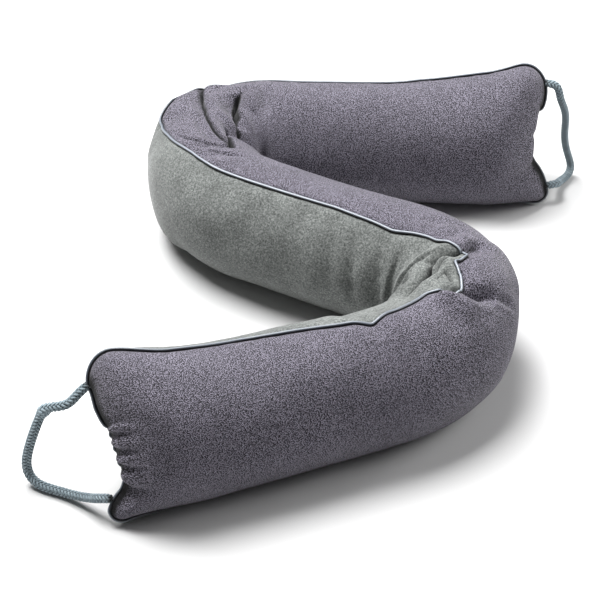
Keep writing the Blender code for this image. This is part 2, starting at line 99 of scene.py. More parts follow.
def add_node(tree, kind, wires=None, values=None, stops=(), **settings):
    """Add one node. wires and values name its inputs, and settings are its own properties.

    A stop of a colour ramp is a position and a hex colour, or a position and a linear grey.
    """
    node = tree.nodes.new("ShaderNode" + kind)
    for name, value in settings.items():
        setattr(node, name, value)
    for name, value in (values or {}).items():
        node.inputs[name].default_value = value
    for name, socket in (wires or {}).items():
        tree.links.new(socket, node.inputs[name])
    if stops:
        elements = node.color_ramp.elements
        while len(elements) < len(stops):
            elements.new(0.5)
        for element, (position, colour) in zip(elements, stops):
            element.position = position
            element.color = linear(colour) if isinstance(colour, str) else (colour, colour, colour, 1.0)
    return node


def grid_faces(index):
    """Four-sided faces between neighbouring rows and columns of a grid of vertex numbers."""
    return np.stack([index[:-1, :-1], index[:-1, 1:], index[1:, 1:], index[1:, :-1]], -1).reshape(-1, 4)


def add_piece(name, points, faces, places, caps=()):
    """A smooth mesh from points, an array of four-sided faces and a few flat caps.

    places gives each point's spot on its cloth, along and across, and a third number that a
    material may read. It is stored as the attribute "cloth".
    """
    mesh = bpy.data.meshes.new(name)
    mesh.from_pydata(points, [], faces.tolist() + [list(cap) for cap in caps])
    stored = mesh.attributes.new("cloth", "FLOAT_VECTOR", "POINT")
    stored.data.foreach_set("vector", np.asarray(places, np.float32).ravel())
    mesh.shade_smooth()
    piece = bpy.data.objects.new(name, mesh)
    bpy.context.scene.collection.objects.link(piece)
    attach(piece, "root")
    print(name, "has", len(mesh.vertices), "points and", len(mesh.polygons), "faces")
    return piece


# %% [markdown]
# ## Where the tube lies
#
# The tube is drawn as its centreline on the floor: a list of stretches with a length and a turn,
# like the plan of a railway. Adding up the turns gives the heading at every millimetre, and
# adding up small steps in that heading gives the place.
#
# Each leg leans a little, so the seam on top is not quite over the seam beneath, and the top
# seam wavers where the cloth is bunched. Both are short tables of angles, read off the photo.

# %% Centreline, lean and wander
PLAN_SHIFT = np.array([-0.0338, -0.0397])
START = np.array([-0.130, -0.162])
START_HEADING = 18.5
TRACE_STEP = 0.001
BEND_EASING = 0.012
STRETCHES = (
    # name, length, turn to the left in degrees
    ("near_leg", 0.2105, 6.0),
    ("near_curve", 0.040, 25.5),
    ("near_bend_in", 0.061, 47.5),
    ("near_bend_out", 0.0535, 56.5),
    ("middle_leg", 0.148, -7.0),
    ("far_bend_in", 0.081, -64.0),
    ("far_bend_out", 0.072, -83.0),
    ("far_leg", 0.2305, -4.0),
)
LEAN_EASING = 0.018
LEAN = (
    # metres along, degrees towards the back panel
    (0.000, 35.0), (0.090, 17.0), (0.180, 6.0), (0.280, 3.0), (0.350, 18.0), (0.550, 21.0),
    (0.590, 40.0), (0.615, 50.0), (0.640, 46.0), (0.685, 20.0), (0.810, 16.0), (0.896, 20.0),
)
WANDER_EASING = 0.005
WANDER = (
    # metres along, degrees that the top seam strays to the front panel
    (0.004, 0.0), (0.032, 8.0), (0.045, 8.0), (0.100, -3.0), (0.140, 0.0), (0.176, 5.0),
    (0.189, 11.0), (0.203, 4.0), (0.220, 0.0), (0.242, -4.0), (0.251, 3.0), (0.260, 19.0),
    (0.273, 9.0), (0.285, 0.0), (0.301, 17.0), (0.308, 12.0), (0.322, -2.0), (0.350, -4.0),
    (0.370, -8.0), (0.388, -4.0), (0.420, 0.0), (0.580, 0.0), (0.602, -7.0), (0.613, 4.0),
    (0.624, -6.0), (0.637, 2.0), (0.696, 0.0),
)


def trace_centreline():
    """Distance, bending, heading and place: bending is added up to headings, and those to places."""
    lengths = np.array([row[1] for row in STRETCHES])
    turns = np.radians([row[2] for row in STRETCHES])
    ends = np.concatenate([[0.0], np.cumsum(lengths)])
    arc = np.arange(0.0, ends[-1] + TRACE_STEP / 2, TRACE_STEP)
    rise = np.tanh((arc - ends[:-1, None]) / BEND_EASING)
    fall = np.tanh((arc - ends[1:, None]) / BEND_EASING)
    bending = ((turns / lengths)[:, None] * (rise - fall) / 2).sum(0)
    heading = math.radians(START_HEADING) + np.cumsum(bending) * TRACE_STEP
    steps = np.stack([np.cos(heading), np.sin(heading)], -1) * TRACE_STEP
    return arc, bending, heading, np.cumsum(steps, axis=0) + START + PLAN_SHIFT


def ease(values, reach):
    """Round the corners of an evenly stepped curve, as a weighted mean over reach steps each way."""
    weights = np.hanning(2 * reach + 3)[1:-1]
    return np.convolve(np.pad(values, reach, mode="edge"), weights / weights.sum(), "valid")


def eased_angles(rows, easing):
    """A table of degrees as radians at every step of the centreline, with eased corners."""
    values = np.interp(ARC, [row[0] for row in rows], [row[1] for row in rows])
    return ease(np.radians(values), int(round(easing / TRACE_STEP)))


ARC, BENDING, HEADING, PLACE = trace_centreline()
LENGTH = float(ARC[-1])
LEAN_CURVE = eased_angles(LEAN, LEAN_EASING)
WANDER_CURVE = eased_angles(WANDER, WANDER_EASING)
print("the tube is", round(LENGTH, 3), "m long; its tightest bend has a radius of",
      round(1000 / np.abs(BENDING).max()), "mm")

# %% [markdown]
# ## The ropes' routes
#
# A rope that is sewn in at both ends can't be drawn freely: it has a fixed length, and what the
# seam does not hold hangs down and lies on the floor. So its route comes before its looks. A few
# corner points are joined with straight lines, the corners are eased, and the result is cut into
# even steps.

# %% Routes of the two rope loops
ROPE_RADIUS = 0.0035
ROPE_EASING = 0.016
ROPE_STEP = 0.0007
ROPE_SEWN_IN = 0.0045
NEAR_ROPE = (
    # metres right, back and up, before the plan is centred
    (-0.1442, -0.1447, 0.0798), (-0.1502, -0.1473, 0.0773), (-0.1483, -0.1459, 0.0741),
    (-0.1527, -0.1499, 0.0710), (-0.1584, -0.1506, 0.0686), (-0.1644, -0.1485, 0.0684),
    (-0.1703, -0.1452, 0.0661), (-0.1743, -0.1459, 0.0582), (-0.1781, -0.1468, 0.0479),
    (-0.1820, -0.1464, 0.0376), (-0.1852, -0.1461, 0.0263), (-0.1882, -0.1455, 0.0150),
    (-0.1867, -0.1483, 0.0070), (-0.1807, -0.1544, 0.0040), (-0.1724, -0.1581, 0.0040),
    (-0.1642, -0.1610, 0.0040), (-0.1552, -0.1654, 0.0044), (-0.1462, -0.1718, 0.0081),
    (-0.1375, -0.1764, 0.0108), (-0.1336, -0.1832, 0.0180), (-0.1291, -0.1834, 0.0177),
)
FAR_ROPE = (
    (0.2078, 0.2325, 0.0982), (0.2148, 0.2326, 0.0992), (0.2157, 0.2294, 0.0860),
    (0.2217, 0.2343, 0.0750), (0.2245, 0.2364, 0.0624), (0.2246, 0.2404, 0.0478),
    (0.2268, 0.2440, 0.0332), (0.2315, 0.2484, 0.0182), (0.2361, 0.2472, 0.0073),
    (0.2303, 0.2372, 0.0040), (0.2197, 0.2225, 0.0074), (0.2182, 0.2034, 0.0191),
    (0.2113, 0.2032, 0.0178),
)


def even_steps(points, step):
    """Distances and points at even steps along a line of points."""
    gone = np.concatenate([[0.0], np.cumsum(np.linalg.norm(np.diff(points, axis=0), axis=1))])
    even = np.linspace(0.0, gone[-1], int(round(gone[-1] / step)) + 1)
    return even, np.stack([np.interp(even, gone, points[:, i]) for i in range(3)], -1)


def rope_route(corners):
    """The eased route: each coordinate is a weighted mean along the line, and both ends stay put."""
    corners = np.array(corners) + np.array([*PLAN_SHIFT, 0.0])
    line = even_steps(corners, TRACE_STEP)[1]
    reach = int(round(ROPE_EASING / TRACE_STEP))
    line = np.concatenate([2 * line[0] - line[reach:0:-1], line, 2 * line[-1] - line[-2:-reach - 2:-1]])
    weights = np.hanning(2 * reach + 3)[1:-1]
    eased = np.stack([np.convolve(line[:, i], weights / weights.sum(), "valid") for i in range(3)], -1)
    first, last = eased[0] - eased[1], eased[-1] - eased[-2]
    first *= ROPE_SEWN_IN / np.linalg.norm(first)
    last *= ROPE_SEWN_IN / np.linalg.norm(last)
    return even_steps(np.concatenate([[eased[0] + first], eased, [eased[-1] + last]]), ROPE_STEP)


ROUTES = {"rope_loop_near": rope_route(NEAR_ROPE), "rope_loop_far": rope_route(FAR_ROPE)}
for name, (gone, route) in ROUTES.items():
    print(name, "is", round(1000 * gone[-1], 1), "mm long")

# %% [markdown]
# ## The braid
#
# The rope is a cotton braid: six strands wind to the left and six to the right, and each one
# passes over two and under two of the others. A painted bump would do from far away, but the
# strands catch the light and roughen the outline, so every strand is a real flattened tube here.
#
# One strand is a helix round the route whose distance from the middle swells and shrinks, two
# crossings out and two crossings in. The strands that wind the other way do the opposite, which
# is all that a braid is.

# %% Strands of the braid
STRANDS_EACH_WAY = 6
BRAID_LAY = 0.0171
BRAID_RADIUS = 0.00242
BRAID_SWELL = 0.00050
BRAID_SQUARENESS = 1.6
STRAND_HALF_WIDTH = 0.00086
STRAND_HALF_THICKNESS = 0.00064
STRAND_SIDES = 8
CORE_RADIUS = 0.0019
PINCHED_TO = 0.80
PINCH_REACH = 0.004
KNUCKLES = {
    # metres along, reach, gain
    "rope_loop_near": (0.038, 0.0035, 0.35),
}


def smooth_step(x):
    """0 below 0, 1 above 1, and an even slope between."""
    x = np.clip(x, 0.0, 1.0)
    return x * x * (3 - 2 * x)


def unit(vectors):
    """Vectors brought to length one."""
    return vectors / np.linalg.norm(vectors, axis=-1, keepdims=True)


def route_frame(route):
    """Two directions square to a route, taken from the plane that its loop lies in."""
    tangent = unit(np.gradient(route, axis=0))
    middle = route[len(route) // 2]
    plane = unit(np.cross(middle - route[0], route[-1] - route[0]))
    sideways = unit(np.cross(tangent, plane))
    return sideways, np.cross(tangent, sideways)


def fullness(name):
    """Thickness along a rope, 1 where it lies free: pinched in the seam, and fuller at a knuckle."""
    gone = ROUTES[name][0]
    full = PINCHED_TO + (1 - PINCHED_TO) * smooth_step(np.minimum(gone, gone[-1] - gone) / PINCH_REACH)
    if name in KNUCKLES:
        middle, reach, gain = KNUCKLES[name]
        full = full + gain * np.exp(-((gone - middle) / reach) ** 2)
    return full


def braid(gone, route, full):
    """Points of all strands, as strand x step x side.

    A strand's middle is the route plus a turning arm. The arm turns evenly with the distance
    along the rope, and its length follows a softened square wave of the crossings passed.
    """
    sideways, upwards = route_frame(route)
    way = np.repeat([1.0, -1.0], STRANDS_EACH_WAY)[:, None]
    number = np.tile(np.arange(STRANDS_EACH_WAY), 2)[:, None]
    angle = 2 * np.pi * (way * gone / BRAID_LAY + number / STRANDS_EACH_WAY)
    crossings = 2 * STRANDS_EACH_WAY * gone / BRAID_LAY
    phase = np.pi / 2 * (crossings + 2 * way * number) + way * np.pi / 4
    arm = full * (BRAID_RADIUS + BRAID_SWELL * np.tanh(BRAID_SQUARENESS * np.sin(phase)))
    outward = np.cos(angle)[..., None] * sideways + np.sin(angle)[..., None] * upwards
    middle = route + arm[..., None] * outward
    heading = unit(np.gradient(middle, axis=1))
    flat = unit(np.cross(heading, outward))
    side = np.linspace(0, 2 * np.pi, STRAND_SIDES, endpoint=False)[:, None]
    section = STRAND_HALF_WIDTH * np.cos(side) * flat[:, :, None] \
        + STRAND_HALF_THICKNESS * np.sin(side) * outward[:, :, None]
    return middle[:, :, None] + full[:, None, None] * section


def tube_faces(count, sides, first=0):
    """Faces of a tube with its sides joined, and its two round ends as caps."""
    index = first + np.arange(count * sides).reshape(count, sides)
    faces = grid_faces(np.concatenate([index, index[:, :1]], axis=1))
    return faces, [index[0][::-1].tolist(), index[-1].tolist()]


def make_rope(name):
    """All strands and a core that closes the view between them, as one piece."""
    gone, route = ROUTES[name]
    full = fullness(name)
    strands = braid(gone, route, full)
    ways, count, sides = strands.shape[:3]
    sideways, upwards = route_frame(route)
    side = np.linspace(0, 2 * np.pi, STRAND_SIDES, endpoint=False)[:, None]
    ring = np.cos(side) * sideways[:, None] + np.sin(side) * upwards[:, None]
    core = route[:, None] + CORE_RADIUS * full[:, None, None] * ring
    points = np.concatenate([strands, core[None]]).reshape(-1, 3)
    faces, caps = zip(*(tube_faces(count, sides, k * count * sides) for k in range(ways + 1)))
    along = np.broadcast_to(gone[None, :, None], (ways + 1, count, sides))
    across = np.arange(sides) / sides + 2 * np.arange(ways + 1)[:, None, None] + 0 * along
    # how far out from the route each point lies; the material turns this into painted shade in the gaps and
    # on the core
    out = np.linalg.norm(points.reshape(ways + 1, count, sides, 3) - route[:, None], axis=-1) / ROPE_RADIUS
    places = np.stack([along, across, out], -1).reshape(-1, 3)
    rope = add_piece(name + "_braid", points, np.concatenate(faces), places, sum(caps, []))
    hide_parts(name)
    return rope


ropes = [make_rope(name) for name in ROUTES]

# %% [markdown]
# ## The shape of the stuffed tube
#
# A point of the cloth is found from two numbers: how far along the tube it is, and how far round
# from the top seam. The section is an ellipse that closes to the thickness of the cloth at both
# ends, where the two panels are sewn flat together. The filling weighs the tube down, so its
# foot is flat, and the seam beneath is pulled up into a groove.

# %% Section of the tube
HALF_WIDTH = 0.0475
HALF_HEIGHT = 0.0512
NEAR_HALF_HEIGHT = 0.0562
FAR_HALF_HEIGHT = 0.0583
CLOTH_AT_END = 0.0018
NEAR_CORNER_RADIUS = 0.018
FAR_CORNER_RADIUS = 0.024
BOTTOM_CORNER_RADIUS = 0.009
CLOSING_REACH = 0.050
CLOSING_FULLNESS = 2.4
CLOSING_ROUNDNESS = 0.62
NEAR_FLARE_REACH = 0.110
FAR_FLARE_REACH = 0.130
FOOT_SINK = 0.0035
SEAM_GAP = 0.0003
PIPING_RADIUS = 0.0012
PIPING_GAP = 0.0001
PIPING_GROOVE = 0.0042
PIPING_GROOVE_REACH = 0.008
GROOVE_EDGE = 0.02
SEAM_LIFT = 0.008
BEND_INNER_SPACE = 0.003
SQUEEZED_FROM = 0.6
FOLDING_ROOM = 0.45
FRONT, BACK = 1.0, -1.0


def end_distance(s):
    """Distance along the tube to the nearer end."""
    return np.minimum(s, LENGTH - s)


def half_width(s):
    """Half of the tube's thickness: it closes in a blunt curve over the last few centimetres."""
    x = np.clip(end_distance(s) / CLOSING_REACH, 0.0, 1.0)
    open_share = (1 - (1 - x) ** CLOSING_FULLNESS) ** CLOSING_ROUNDNESS
    return CLOTH_AT_END + (HALF_WIDTH - CLOTH_AT_END) * open_share


def half_height(s):
    """Half of the tube's height: it flares to the flat width of the panels at the ends."""
    near = 1 - smooth_step(s / NEAR_FLARE_REACH)
    far = 1 - smooth_step((LENGTH - s) / FAR_FLARE_REACH)
    gain = (NEAR_HALF_HEIGHT - HALF_HEIGHT) * near + (FAR_HALF_HEIGHT - HALF_HEIGHT) * far
    return HALF_HEIGHT + gain


def corner_cut(s, down):
    """What the corners take off the height at the very end: quarter circles, blended downwards."""
    cut = 0.0
    top_radius = np.where(s < LENGTH / 2, NEAR_CORNER_RADIUS, FAR_CORNER_RADIUS)
    for radius, share in ((top_radius, 1 - down), (BOTTOM_CORNER_RADIUS, down)):
        x = np.clip(1 - end_distance(s) / radius, 0.0, 1.0)
        cut = cut + share * radius * (1 - np.sqrt(1 - x * x))
    return cut


# %% [markdown]
# ## Folds
#
# Cloth does not stretch, so in a bend it has to go somewhere: it folds on the inside and puckers
# at the seam. The folds that can be told apart in the photo are listed one by one, each as a line
# on the tube with a width and a depth. Beside each trough the cloth swells a little, because the
# filling that it displaces must go somewhere too.

# %% Folds that show from a step away
FOLDS = (
    # metres along, degrees round, to metres along, to degrees round, half width, push
    (0.302, 12.0, 0.320, 44.0, 0.0046, -0.0045),
    (0.261, 18.0, 0.275, 46.0, 0.0046, -0.0055),
    (0.281, 10.0, 0.298, 60.0, 0.0100, 0.0030),
    (0.247, 4.0, 0.254, 42.0, 0.0075, 0.0050),
    (0.253, 2.0, 0.257, 17.0, 0.0042, -0.0060),
    (0.306, 12.0, 0.297, -26.0, 0.0046, -0.0055),
    (0.300, -14.0, 0.240, -36.0, 0.0060, -0.0075),
    (0.287, -40.0, 0.287, -140.0, 0.0120, -0.0080),
    (0.296, -18.0, 0.276, 8.0, 0.0060, 0.0030),
    (0.277, -6.0, 0.264, 6.0, 0.0030, -0.0022),
    (0.377, -12.0, 0.366, -85.0, 0.0070, -0.0020),
    (0.396, -18.0, 0.390, -92.0, 0.0060, -0.0024),
    (0.412, -22.0, 0.407, -95.0, 0.0070, -0.0020),
    (0.190, -8.0, 0.189, 28.0, 0.0060, -0.0024),
    (0.641, 36.0, 0.606, 88.0, 0.0062, -0.0070),
    (0.628, 12.0, 0.603, 44.0, 0.0045, -0.0050),
    (0.610, 42.0, 0.538, 30.0, 0.0042, -0.0050),
    (0.592, 32.0, 0.546, 22.0, 0.0036, -0.0025),
    (0.586, 56.0, 0.586, 135.0, 0.0140, -0.0080),
    (0.556, 0.0, 0.532, 46.0, 0.0045, -0.0020),
    (0.546, -2.0, 0.514, 40.0, 0.0040, -0.0014),
    (0.598, 2.0, 0.642, -6.0, 0.0220, 0.0082),
    (0.540, -112.0, 0.592, -108.0, 0.0240, 0.0045),
    (0.582, -62.0, 0.618, -62.0, 0.0150, -0.0030),
    (0.650, -20.0, 0.790, -20.0, 0.0240, -0.0050),
    (0.170, -24.0, 0.256, -28.0, 0.0200, -0.0065),
    (0.262, 108.0, 0.304, 94.0, 0.0200, -0.0020),
    (0.300, 80.0, 0.330, 68.0, 0.0180, 0.0030),
    # narrower ones that only the finished cloth shows
    (0.654, 28.0, 0.643, 72.0, 0.0060, 0.0042),
    (0.637, 8.0, 0.630, 32.0, 0.0090, -0.0040),
    (0.667, 26.0, 0.660, 66.0, 0.0040, -0.0030),
    (0.345, 12.0, 0.338, 46.0, 0.0045, -0.0018),
    (0.323, 8.0, 0.331, 36.0, 0.0040, -0.0022),
    (0.310, -8.0, 0.300, -60.0, 0.0026, -0.0030),
    (0.270, 30.0, 0.284, 70.0, 0.0022, -0.0022),
    (0.350, -20.0, 0.340, -80.0, 0.0050, -0.0020),
)
FOLD_LIP, LIP_AWAY = 0.35, 2.0
CREASE_POWER, BULGE_POWER = 1.3, 2.0
FOLD_FADE, CREASE_FADE = 3, 8


def to_stretch(s, y, start, end):
    """The nearest point of a straight stretch: the share of the stretch before it, and how far off."""
    off_s, off_y = s - start[0], y - start[1]
    run_s, run_y = end[0] - start[0], end[1] - start[1]
    gone = np.clip((off_s * run_s + off_y * run_y) / math.hypot(run_s, run_y) ** 2, 0.0, 1.0)
    return gone, np.hypot(off_s - gone * run_s, off_y - gone * run_y)


def relief(s, around, folds):
    """How far the cloth is pushed out: a bell across each line, sharp for creases, with a low lip."""
    push = np.zeros_like(s)
    y = HALF_HEIGHT * around
    for s_from, a_from, s_to, a_to, width, amount in folds:
        y_from, y_to = HALF_HEIGHT * math.radians(a_from), HALF_HEIGHT * math.radians(a_to)
        gone, away = to_stretch(s, y, (s_from, y_from), (s_to, y_to))
        away = away / width
        power = CREASE_POWER if amount < 0 else BULGE_POWER
        profile = np.exp(-away ** power) - FOLD_LIP * np.exp(-(away - LIP_AWAY) ** 2)
        push += amount * profile * (1 - np.abs(2 * gone - 1) ** FOLD_FADE)
    return push


print(len(FOLDS), "folds, the deepest", 1000 * max(abs(row[-1]) for row in FOLDS), "mm")


# %% [markdown]
# ## Creases
#
# Where a fold closes, cloth touches cloth and no light gets in. Those lines are far narrower than
# the folds: they are listed apart, cut in steeply, and their depth is kept for the materials,
# which turn nearly black there.

# %% Creases where cloth touches cloth
CREASES = (
    # half width, depth, points of the line: metres along and degrees round
    (0.0022, 0.0100, ((0.643, 38.0), (0.636, 52.0), (0.622, 73.0), (0.602, 80.0), (0.590, 84.0))),
    (0.0022, 0.0080, ((0.590, 66.0), (0.575, 60.0), (0.546, 42.0), (0.538, 38.0))),
    (0.0017, 0.0042, ((0.636, -5.0), (0.628, 10.0), (0.619, 28.0), (0.611, 40.0), (0.600, 45.0),
                      (0.586, 46.0), (0.565, 42.0), (0.540, 37.0))),
    (0.0015, 0.0016, ((0.596, 33.0), (0.571, 33.0), (0.547, 30.0))),
    (0.0016, 0.0020, ((0.582, 4.0), (0.559, 14.0), (0.550, 20.0), (0.545, 34.0), (0.539, 42.0))),
    (0.0016, 0.0016, ((0.550, 3.0), (0.540, 15.0), (0.528, 24.0), (0.510, 37.0))),
    (0.0016, 0.0026, ((0.303, 4.0), (0.307, 14.0), (0.313, 26.0), (0.318, 38.0))),
    (0.0016, 0.0024, ((0.258, 8.0), (0.262, 18.0), (0.266, 28.0), (0.270, 38.0))),
    (0.0013, 0.0050, ((0.306, 12.0), (0.302, -8.0), (0.296, -20.0), (0.272, -30.0), (0.243, -36.0))),
    (0.0010, 0.0026, ((0.261, -9.0), (0.275, -6.0), (0.264, 6.0))),
    (0.0010, 0.0020, ((0.290, -2.0), (0.283, -14.0), (0.266, -22.0))),
    (0.0012, 0.0012, ((0.378, -8.0), (0.372, -40.0), (0.364, -80.0))),
    (0.0012, 0.0012, ((0.398, -14.0), (0.395, -45.0), (0.388, -88.0))),
)


def creases(s, around):
    """Depth of the creases: a steep bell across the nearest stretch of each line, less at its ends."""
    depth = np.zeros_like(s)
    y = HALF_HEIGHT * around
    for width, amount, line in CREASES:
        corners = [(s_here, HALF_HEIGHT * math.radians(degrees)) for s_here, degrees in line]
        nearest, share = np.full(s.shape, np.inf), np.zeros_like(s)
        for k, (start, end) in enumerate(zip(corners, corners[1:])):
            gone, away = to_stretch(s, y, start, end)
            share = np.where(away < nearest, (k + gone) / (len(corners) - 1), share)
            nearest = np.minimum(nearest, away)
        depth += amount * np.exp(-(nearest / width) ** 2) * (1 - np.abs(2 * share - 1) ** CREASE_FADE)
    return depth


print(len(CREASES), "creases, the deepest", 1000 * max(row[1] for row in CREASES), "mm")


# %% [markdown]
# ## The ends
#
# An end seam is not straight. Where the machine has gathered the cloth, the seam is drawn into
# the tube, and between the gathers the stuffed cloth puffs out past it and hides the piping. The
# seam's line is a table from the top corner to the bottom corner, read off the photo.

# %% Lines of the end seams, gathers and puffs
END_LINES = (
    # end, from 0 at the top corner down to 1, metres drawn in from a straight end
    ("near", 0.00, -0.0040), ("near", 0.08, -0.0026), ("near", 0.23, -0.0019),
    ("near", 0.33, 0.0002), ("near", 0.42, 0.0034), ("near", 0.58, 0.0050), ("near", 0.73, 0.0066),
    ("near", 0.83, 0.0080), ("near", 0.88, 0.0054), ("near", 0.93, -0.0010),
    ("near", 1.00, -0.0058), ("far", 0.00, 0.0018), ("far", 0.10, 0.0020), ("far", 0.19, 0.0032),
    ("far", 0.30, 0.0075), ("far", 0.50, 0.0095), ("far", 0.68, 0.0098), ("far", 0.76, 0.0088),
    ("far", 0.82, 0.0036), ("far", 0.90, -0.0010), ("far", 1.00, -0.0044),
)
END_LINE_EASING = 0.03
DOWN_STEPS = np.linspace(0.0, 1.0, 201)
PUCKER_REACH = 0.008
DENT_SHARE = 0.7
DENT_REACH = 0.006
PUFF = {"near": 0.0062, "far": 0.0034}
PUFF_REACH = 0.0034
PINCH_OF_PUFF = 0.0016
PUFFED_BETWEEN = {"near": (0.38, 0.86), "far": (0.18, 0.77)}
PUFFED_EASING = 0.05
PUCKERS = (
    # end, down, half width, depth
    ("near", 0.13, 0.014, 0.0012), ("near", 0.18, 0.014, 0.0014), ("near", 0.24, 0.016, 0.0016),
    ("near", 0.31, 0.018, 0.0018), ("near", 0.37, 0.026, 0.0030), ("near", 0.47, 0.026, 0.0017),
    ("near", 0.58, 0.028, 0.0019), ("near", 0.69, 0.028, 0.0018), ("near", 0.84, 0.045, 0.0070),
    ("far", 0.22, 0.040, 0.0055), ("far", 0.50, 0.034, 0.0008), ("far", 0.76, 0.045, 0.0060),
)


def gathers(s, down):
    """Depth of the gathers: bells down the end seam that die away into the tube."""
    depth = 0.0
    for end, middle, width, amount in PUCKERS:
        away = s if end == "near" else LENGTH - s
        depth = depth + amount * np.exp(-((down - middle) / width) ** 2) * np.exp(-away / PUCKER_REACH)
    return depth


def end_curve(end):
    """The line of one end seam, with eased corners, at even steps from top to bottom."""
    rows = [row for row in END_LINES if row[0] == end]
    line = np.interp(DOWN_STEPS, [row[1] for row in rows], [row[2] for row in rows])
    return ease(line, int(round(END_LINE_EASING * (len(DOWN_STEPS) - 1))))


END_CURVES = {end: end_curve(end) for end in ("near", "far")}


def drawn_in(s, down):
    """How far the end seam draws the cloth along the tube. It dies away into the tube."""
    at_end = 1 - smooth_step(end_distance(s) / CLOSING_REACH)
    near = np.interp(down, DOWN_STEPS, END_CURVES["near"])
    far = np.interp(down, DOWN_STEPS, END_CURVES["far"])
    return at_end * np.where(s < LENGTH / 2, near, -far)


def puffed_share(s, down):
    """Where the cloth puffs out: 1 between two gathers, and 0 at a gather or near a corner."""
    share = 0.0
    for end, (first, last) in PUFFED_BETWEEN.items():
        here = (s < LENGTH / 2) == (end == "near")
        free = smooth_step((down - first) / PUFFED_EASING) * smooth_step((last - down) / PUFFED_EASING)
        for name, middle, width, amount in PUCKERS:
            pinch = (name == end) * min(1.0, amount / PINCH_OF_PUFF)
            free = free - pinch * np.exp(-((down - middle) / width) ** 2)
        share = share + here * np.clip(free, 0.0, 1.0)
    return share


def puffed_out(s, down, side):
    """How far the front cloth puffs out past the end seam: most close behind it, then ever less."""
    away = end_distance(s) / PUFF_REACH
    puff = (side == FRONT) * puffed_share(s, down) * away * np.exp(1 - away)
    return np.where(s < LENGTH / 2, -PUFF["near"] * puff, PUFF["far"] * puff)


print(len(PUCKERS), "gathers at the ends")


# %% [markdown]
# ## Small unevenness
#
# Loose filling is never quite even, and neither is a seam. Two kinds of unevenness are added from
# one helper, a field of soft random hills that is the same in every run: broad lumps of filling,
# and short ripples where the stitches draw the cloth together beside the piping. Both fade to
# nothing on the seam itself, so the two panels still meet.

# %% Lumps of filling and ripples beside the seam
LUMP_LENGTH = 0.034
LUMP_DEPTH = 0.0011
LUMP_SHIFT, RIPPLE_SHIFT = 9, 30
LUMP_SEED, CRUMPLE_SEED, RIPPLE_SEED = 3, 5, 7
CRUMPLE_LENGTH = 0.013
CRUMPLE_DEPTH = 0.0006
CRUMPLE_STRETCH = 2.2
CRUMPLED_UNSQUEEZED = 0.25
RIPPLE_LENGTH = 0.0055
RIPPLE_HEIGHT = 0.02
RIPPLE_REACH = 0.0050
RIPPLE_DEPTH = 0.0005
SEAM_DIP = 0.0012
SEAM_DIP_REACH = 0.0030
CLEAR_OF_SEAM = 0.014
LATTICE = 64


def soft_hills(u, v, seed):
    """Random heights on a lattice of whole numbers, blended between its corners with eased slopes."""
    heights = np.random.default_rng(seed).uniform(-1.0, 1.0, (LATTICE, LATTICE))
    i, j = np.floor(u).astype(int), np.floor(v).astype(int)
    p, q = smooth_step(u - i), smooth_step(v - j)
    here, there = i % LATTICE, (i + 1) % LATTICE
    low, high = j % LATTICE, (j + 1) % LATTICE
    near = heights[here, low] * (1 - p) + heights[there, low] * p
    far = heights[here, high] * (1 - p) + heights[there, high] * p
    return near * (1 - q) + far * q


def unevenness(s, turn, around, squeeze):
    """Lumps everywhere, crumples where the bend squeezes the cloth, and ripples beside the seams."""
    y = HALF_HEIGHT * around
    from_seam = HALF_HEIGHT * np.minimum(turn, np.pi - turn)
    clear = smooth_step(from_seam / CLEAR_OF_SEAM)
    lumps = LUMP_DEPTH * soft_hills(s / LUMP_LENGTH, y / LUMP_LENGTH + LUMP_SHIFT, LUMP_SEED)
    hills = soft_hills(s / CRUMPLE_LENGTH, y / (CRUMPLE_STRETCH * CRUMPLE_LENGTH), CRUMPLE_SEED)
    crumples = CRUMPLE_DEPTH * (CRUMPLED_UNSQUEEZED + squeeze) * hills
    beside = from_seam / RIPPLE_REACH * np.exp(1 - from_seam / RIPPLE_REACH)
    waves = soft_hills(s / RIPPLE_LENGTH, y / RIPPLE_HEIGHT + RIPPLE_SHIFT, RIPPLE_SEED)
    ripples = RIPPLE_DEPTH * beside * waves
    dip = -SEAM_DIP * np.exp(-(from_seam / SEAM_DIP_REACH) ** 2) * (turn < np.pi / 2)
    return clear * (lumps + crumples) + ripples + dip


# %% [markdown]
# ## Putting the cloth in place
#
# This is the one function that every sewn piece shares: panel, panel and piping ask it for
# points, so they can't drift apart. It bends the section along the centreline, leans it, pushes
# the folds in square to the cloth, and keeps the inner wall of a bend from crossing itself.


# %% Surface of the cloth
def inside_bend(right, bending):
    """Squeeze the inner wall softly, so that it stays short of the middle of the bend."""
    inward = -np.sign(bending) * right
    limit = 1 / np.maximum(np.abs(bending), 1e-6) - BEND_INNER_SPACE
    share = inward / limit
    rest = 1 - SQUEEZED_FROM
    squeezed = limit * (SQUEEZED_FROM + rest * np.tanh((share - SQUEEZED_FROM) / rest))
    return np.where(share > SQUEEZED_FROM, -np.sign(bending) * squeezed, right)


